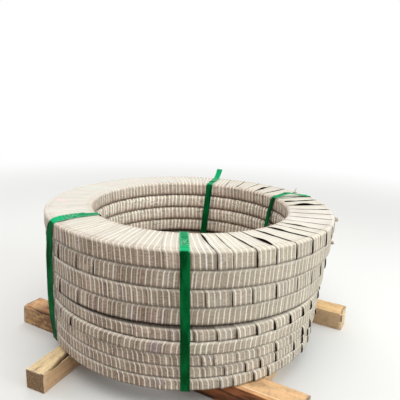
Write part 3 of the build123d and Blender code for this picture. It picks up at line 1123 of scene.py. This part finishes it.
def strap_path(name, strap):
    """A strap's inner face: places out from the axis and up, which way it faces, and how it lies."""
    place, facing = tight_line(strap_hull(strap))
    length = running(np.hypot(*(np.roll(place, -1, 0) - place).T))
    whole, length = length[-1], length[:-1]
    legs = {"top": facing[:, 1] > 0.7, "bottom": facing[:, 1] < -0.7,
            "out": facing[:, 0] > 0.7, "bore": facing[:, 0] < -0.7}
    knots = []
    for leg, where, *values in strap["knots"]:
        level_leg = leg in ("top", "bottom")
        wanted = where * MM if level_leg else stack_top - where * MM
        miss = np.abs(place[:, 0 if level_leg else 1] - wanted)
        knots.append((length[np.where(legs[leg], miss, np.inf).argmin()], *values))
    knots = np.array(sorted(knots))
    # Shift, twist and lift run smoothly from knot to knot
    fine = np.arange(0, whole, 1 * MM)
    kernel = np.exp(-((np.arange(-KNOT_REACH, KNOT_REACH + 1) / KNOT_BLEND) ** 2))
    laid = []
    for column in knots[:, 1:].T:
        values = np.interp(fine, knots[:, 0], column, period=whole)
        ring = np.concatenate([values[-KNOT_REACH:], values, values[:KNOT_REACH]])
        smooth = np.convolve(ring, kernel / kernel.sum(), "valid")
        laid.append(np.interp(length, fine, smooth, period=whole))
    shift, twist, lift = laid
    side = shift * MM + (stack_top - place[:, 1]) * math.tan(math.radians(strap["drift"]))
    if name == "left":
        place, facing = soft_bend(place, facing, lift * MM, length, whole)
    return {"out": direction(strap["azimuth"]), "place": place, "facing": facing, "side": side,
            "twist": np.radians(twist), "lift": lift * MM, "run": length, "top": legs["top"]}


def strap_strip(out, line, half, closed):
    """Vertices, faces and maps of a strap's band, or of its lap, that follows a line of places."""
    widths, thick = STRAP_COLUMNS * half, STRAP_PROFILE * STRAP_THICKNESS / 2
    out_and_up = np.array([[*out, 0.0], [0.0, 0.0, 1.0]])
    side_way = np.array([-out[1], out[0], 0.0])
    normal = line["facing"] @ out_and_up
    centre = line["place"] @ out_and_up + line["side"][:, None] * side_way + [*axis, 0.0]
    centre = centre + normal * (line["lift"] + STRAP_THICKNESS / 2)[:, None]
    cosine, sine = np.cos(line["twist"])[:, None], np.sin(line["twist"])[:, None]
    across = side_way * cosine + normal * sine
    face_way = normal * cosine - side_way * sine
    middle = centre[:, None] + across[:, None] * widths[:, None]
    vertices, faces = thin_band(middle, face_way[:, None] * thick[:, None], closed)
    run, weld, light = (np.repeat(line[key], 2 * len(widths)) for key in ("run", "weld", "light"))
    places = np.tile(np.concatenate([widths, widths[::-1]]), len(centre))
    return vertices, faces, {"strap": np.stack([places, run], -1), "weld": np.stack([weld, light], -1)}


def weld_shares(radius, end):
    """How far a strap is welded at each radius on the top face, and how much painted light it takes
    there.
    """
    weld_start, weld_end = end - WELD_START, end - WELD_END
    weld = np.clip((radius - weld_start) / WELD_FADE, 0, 1)
    weld = weld * np.clip((weld_end - radius) / WELD_FADE, 0, 1)
    return weld, 0.5 + 0.5 * np.clip((radius - weld_end) / (4 * MM), 0, 1)


def lap_line(path, end):
    """Line of a strap's upper end, which lies on the band below it."""
    radius = np.arange(end - LAP_LENGTH, end + 1e-9, LAP_STEP)
    order = np.nonzero(path["top"])[0]
    order = order[np.argsort(path["place"][order, 0])]

    def under(values):
        """Values of the band below the lap."""
        return np.interp(radius, path["place"][order, 0], values[order])

    weld, light = weld_shares(radius, end)
    lift = under(path["lift"]) + STRAP_THICKNESS - WELD_SINK * weld
    lift = lift + LAP_LIFT * np.clip(1 - (radius - radius[0]) / LAP_LIFT_REACH, 0, 1) ** 2
    return {"place": np.stack([radius, under(path["place"][:, 1])], -1),
            "facing": np.tile([0.0, 1.0], (len(radius), 1)), "side": under(path["side"]),
            "twist": under(path["twist"]), "lift": lift, "run": radius - radius[0],
            "weld": weld, "light": light}


def tail_line(lap, end):
    """Line of a spare end, which goes on past its weld and curls up clear of the coil."""
    sine, cosine, same = np.sin(TAIL_BEND), np.cos(TAIL_BEND), np.ones_like(TAIL_BEND)
    height = lap["place"][-1, 1] + TAIL_CURL * (1 - cosine)
    return {"place": np.stack([end + TAIL_CURL * sine, height], -1),
            "facing": np.stack([-sine, cosine], -1),
            "side": lap["side"][-1] - TAIL_DRIFT * TAIL_BEND**2, "twist": TAIL_TWIST * TAIL_BEND**2,
            "lift": lap["lift"][-1] * same, "run": lap["run"][-1] + TAIL_CURL * TAIL_BEND,
            "weld": 0.0 * same, "light": 0.7 * same}


def strap_mesh(name, path):
    """A whole strap: its closed band and the lapped, welded end on the top face."""
    radius, on_top = path["place"][:, 0], path["top"]
    end = radius[on_top].max() - LAP_FROM_EDGE
    lap = lap_line(path, end)
    if name == "back":
        tail = tail_line(lap, end)
        lap = {key: np.concatenate([values, tail[key]]) for key, values in lap.items()}
    weld, light = weld_shares(radius, end)
    band = {**path, "weld": weld * on_top, "light": light * on_top}
    vertices, faces, maps = strap_strip(path["out"], band, STRAP_HALF, True)
    more, more_faces, more_maps = strap_strip(path["out"], lap, STRAP_HALF - LAP_INSET, False)
    faces += [tuple(k + len(vertices) for k in face) for face in more_faces]
    maps = {key: np.concatenate([values, more_maps[key]]) for key, values in maps.items()}
    return build_mesh(f"band_{name}", np.concatenate([vertices, more]), faces, maps)


# Timber

def rough(points, scale, seed):
    """Smooth random numbers from -1 to 1 at some places."""
    return np.array([noise.noise(Vector((x * scale[0] + 7.3 * seed, y * scale[1], z * scale[2])))
                     for x, y, z in points])


def timber_frame(length, width, height, rows):
    """Places on a squared timber about its own middle, the way each faces, and which are its ends."""
    across, up = (26, 20) if length < SHORT_TIMBER else (16, 12)
    edge, half = TIMBER_EDGE, width / 2
    sides = [((edge - half, 0), (half - edge, 0), (0, -1), across),
             ((half, edge), (half, height - edge), (1, 0), up),
             ((half - edge, height), (edge - half, height), (0, 1), across),
             ((-half, height - edge), (-half, edge), (-1, 0), up)]
    ring = np.concatenate([np.linspace(start, end, count) for start, end, _, count in sides])
    facing = np.concatenate([np.tile([0.0, *way], (count, 1)) for _, _, way, count in sides])
    size = len(ring)
    # Rings that shrink towards the middle close both ends
    stations = [(-length / 2, scale, 1.0) for scale in END_RINGS]
    stations += [(x, 1.0, 0.0) for x in np.linspace(-length / 2, length / 2, rows)]
    stations += [(length / 2, scale, 1.0) for scale in END_RINGS[::-1]]
    places, ways = [], []
    for x, scale, capped in stations:
        level = height / 2 + (ring[:, 1] - height / 2) * scale
        places.append(np.stack([np.full(size, x), ring[:, 0] * scale, level], -1))
        ways.append(np.tile([math.copysign(1.0, x), 0, 0], (size, 1)) if capped else facing)
    places.append([[-length / 2, 0, height / 2], [length / 2, 0, height / 2]])
    ways.append([[-1, 0, 0], [1, 0, 0]])
    on_end = np.append(np.repeat([capped for _, _, capped in stations], size), [1.0, 1.0])
    faces = tube_faces(len(stations), size)
    middle = len(stations) * size
    for k in range(size):
        beside = (k + 1) % size
        faces += [(middle, beside, k), (middle + 1, middle - size + k, middle - size + beside)]
    return np.concatenate(places), np.concatenate(ways), on_end, faces


def crack_opening(places, start, end, wide, seed):
    """How far a crack seen from above is open at each place, from 0 to 1."""
    start, way = np.array(start) * MM, np.subtract(end, start) * MM
    share = np.clip(((places[:, :2] - start) @ way) / (way @ way), 0, 1)
    line = start + share[:, None] * way
    line[:, 1] += CRACK_WANDER * np.sin(share * 9 + seed)
    off = np.hypot(*(places[:, :2] - line).T)
    across = wide * MM * np.sin(np.pi * np.clip(share, 0.04, 0.96)) ** 0.8
    return np.clip(1.7 - 1.7 * off / across, 0, 1)


def timber_mesh(name, size, turn, rows, seed, cracks=(), chips=(), **_):
    """Sawn timber where its node stands, with worn edges, cracks and chips."""
    length, width, height = (value * MM for value in size)
    places, ways, on_end, faces = timber_frame(length, width, height, rows)
    x, y, z = places.T
    from_end = length / 2 - np.abs(x)
    coarse = rough(places, (9, 60, 60), seed)
    fine = rough(places, (60, 260, 260), seed + 3)
    saw = rough(places, (330, 12, 12), seed + 5)
    depth = (0.30 + 0.22 * coarse + 0.12 * fine + 0.10 * saw) * MM
    # Long edges and end edges are worn unevenly
    gaps = np.sort([from_end, width / 2 - np.abs(y), np.minimum(z, height - z)], axis=0)
    near_edge = np.exp(-gaps[1] / EDGE_WEAR)
    wear = np.clip(rough(places, (26, 50, 50), seed + 9), 0, 1)
    depth += near_edge * (0.4 + 2.6 * wear) * MM
    depth = np.where((z < 0.5 * MM) & (ways[:, 2] < 0), 0.0, depth)
    moved = places - ways * depth[:, None]
    inward = np.array([0, 0, height / 2]) - places
    inward[:, 0] = 0
    inward /= np.maximum(np.linalg.norm(inward, axis=1), 1e-6)[:, None]
    pull = near_edge * (0.2 + 1.0 * wear) * MM * (1 - on_end) * (z > 1 * MM)
    moved += inward * pull[:, None]

    split = np.zeros(len(places))
    for start, end, wide, deep in cracks:
        opening = crack_opening(places, start, end, wide, seed) * (z > height - 2 * TIMBER_EDGE)
        moved[:, 2] -= opening * deep * MM
        split = np.maximum(split, opening)
    for at, reach, deep in chips:
        away = np.linalg.norm((places - np.array(at) * MM) / (np.array(reach) * MM), axis=1)
        bite = np.clip(1.3 - away + 0.5 * fine, 0, 1)
        moved[:, 0] -= np.sign(at[0]) * bite * deep * MM * (from_end < CHIPPED_END)
    # Bare fibres show along the edges of the sawn ends
    bare = np.exp(-from_end / BARE_END) * (1 - on_end) * np.clip(0.8 + coarse, 0, 1)
    maps = {"timber": places[:, :2], "timber_end": np.stack([z, on_end], -1),
            "crack": np.stack([split, bare], -1)}
    along, aside = direction(turn), direction(turn + 90)
    moved[:, :2] = moved[:, :1] * along + moved[:, 1:2] * aside + centre_of(name)
    return build_mesh(f"timber_{name}", moved, faces, maps)


# Loose bits of ribbon and film

def curve_places(name, line):
    """Places along a smooth curve, from points in mm out, degrees round and mm up."""
    curve = bpy.data.curves.new(name, "CURVE")
    curve.dimensions = "3D"
    spline = curve.splines.new("NURBS")
    spline.points.add(len(line) - 1)
    for point, (out, azimuth, up) in zip(spline.points, line):
        point.co = (*(axis + out * MM * direction(azimuth)), up * MM, 1)
    spline.order_u = 3
    spline.use_endpoint_u = True
    spline.resolution_u = 6
    holder = bpy.data.objects.new(name, curve)
    mesh = bpy.data.meshes.new_from_object(holder)
    places = np.array([tuple(vertex.co) for vertex in mesh.vertices])
    bpy.data.objects.remove(holder)
    bpy.data.meshes.remove(mesh)
    return places


def loose_mesh(name, line, broad, width, thickness):
    """Thin strip along a line of places, slightly cupped."""
    places = curve_places(name + "_line", line)
    ahead = np.gradient(places, axis=0)
    ahead /= np.linalg.norm(ahead, axis=1)[:, None]
    way = broad - (ahead @ broad)[:, None] * ahead
    way /= np.linalg.norm(way, axis=1)[:, None]
    normal = np.cross(ahead, way)
    share = np.linspace(0, 1, len(places))
    widths = np.interp(share, np.linspace(0, 1, len(width)), width) * MM
    steps = np.array([-0.5, -0.25, 0.0, 0.25, 0.5])
    cup = CUP * np.cos(np.pi * steps)
    middle = places[:, None] + way[:, None] * steps[:, None] * widths[:, None, None]
    middle = middle + normal[:, None] * cup[:, None]
    vertices, faces = thin_band(middle, normal[:, None] * thickness * MM / 2)
    across = np.concatenate([steps, steps[::-1]]) * widths[:, None] + 0.02
    run = running(np.linalg.norm(np.diff(places, axis=0), axis=1))
    along = np.broadcast_to(run[:, None], across.shape)
    # Neither tucked in nor in the bore, and facing up
    plain = {"next": (-0.02, 0.0), "tint": (0.0, 1.0), "shade": (0.0, -1.0)}
    maps = {key: np.tile(values, (len(vertices), 1)) for key, values in plain.items()}
    return build_mesh(name, vertices, faces, {"ribbon": np.stack([across, along], -1), **maps})


# Camera, light and floor

def put(name, data):
    """New object in the scene."""
    thing = bpy.data.objects.new(name, data)
    bpy.context.scene.collection.objects.link(thing)
    return thing


def place_camera():
    """Camera at the photograph's place and angle."""
    camera = put("camera", bpy.data.cameras.new("camera"))
    camera.data.sensor_width = SENSOR
    camera.data.lens = CAMERA_LENS
    place = axis + CAMERA_OUT * direction(CAMERA_AZIMUTH)
    matrix = Matrix.Translation((*place, stack_top + CAMERA_ABOVE))
    for angle, around in ((CAMERA_AZIMUTH + 90 - CAMERA_YAW, "Z"), (90 - CAMERA_PITCH, "X"),
                          (CAMERA_ROLL, "Z")):
        matrix = matrix @ Matrix.Rotation(math.radians(angle), 4, around)
    camera.matrix_world = matrix
    bpy.context.scene.camera = camera


def area_light(name, place, aim, size, power, color):
    """Soft lamp pointed at a place."""
    lamp = put(name, bpy.data.lights.new(name, "AREA"))
    lamp.data.shape = "DISK"
    lamp.data.size = size
    lamp.data.energy = power
    lamp.data.color = color
    lamp.location = place
    lamp.rotation_mode = "QUATERNION"
    lamp.rotation_quaternion = (Vector(aim) - Vector(place)).to_track_quat("-Z", "Y")


def floor():
    """Pale floor that goes to white for the camera and keeps the shadow."""
    g = Graph(bpy.data.materials.new("floor"))
    out, side, _ = g.place().split()
    fade = (out * out + side * side).do("SQRT").ramp(*FLOOR_FADE)
    seen = g.light_path("Camera", "Glossy")
    g.color = g.mix(seen, linear(176, 175, 172), linear(226, 225, 222))
    white = g.wire("ShaderNodeEmission", {"Strength": 1.0})
    mesh = bpy.data.meshes.new("floor")
    corners = [(-FAR, -FAR, 0), (FAR, -FAR, 0), (FAR, FAR, 0), (-FAR, FAR, 0)]
    mesh.from_pydata(corners, [], [(0, 1, 2, 3)])
    mesh.materials.append(g.finish(g.blend(fade * seen, g.surface(0.9), white)))
    put("floor", mesh)


def world():
    """Even pale surroundings, white to the camera and to reflections."""
    g = Graph(bpy.data.worlds.new("studio"))
    plain = g.wire("ShaderNodeBackground", {"Color": (1.0, 0.995, 0.98, 1.0), "Strength": 0.68})
    white = g.wire("ShaderNodeBackground", {"Color": (1.0, 1.0, 1.0, 1.0), "Strength": 1.0})
    seen = g.light_path("Camera", "Glossy", "Transmission")
    bpy.context.scene.world = g.finish(g.blend(seen, plain, white), "World")


def add_piece(name, mesh, material, slot, *nodes):
    """Puts a finished mesh in the scene, in place of any CAD nodes that are named."""
    piece = put(name, mesh)
    mesh.materials.append(material)
    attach(piece, "root")
    if nodes:
        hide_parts(*nodes)


paths = {name: strap_path(name, strap) for name, strap in STRAPS.items()}
wrap, steel, green = wrap_material(), steel_material(), strap_material()
for coil, row in zip(coils, WOUND):
    ribbon = ribbon_mesh(coil, row, paths)
    add_piece(f"ribbon_{coil.number}", ribbon, wrap, "wrap", f"wrap_{coil.number}")
    for slot in frame["nodes"][f"coil_{coil.number}"].material_slots:
        slot.material = steel

for name, path in paths.items():
    add_piece(f"band_{name}", strap_mesh(name, path), green, "strap", f"strap_{name}")

for name, timber in TIMBERS.items():
    wood = wood_material(name, **timber)
    add_piece(f"timber_{name}", timber_mesh(name, **timber), wood, "timber", name)

for name, strip in LOOSE.items():
    add_piece(name, loose_mesh(name, *strip), wrap, "wrap")

place_camera()
floor()
world()
for name, lamp in LAMPS.items():
    area_light(name, *lamp)
bpy.context.scene.view_settings.view_transform = "Standard"
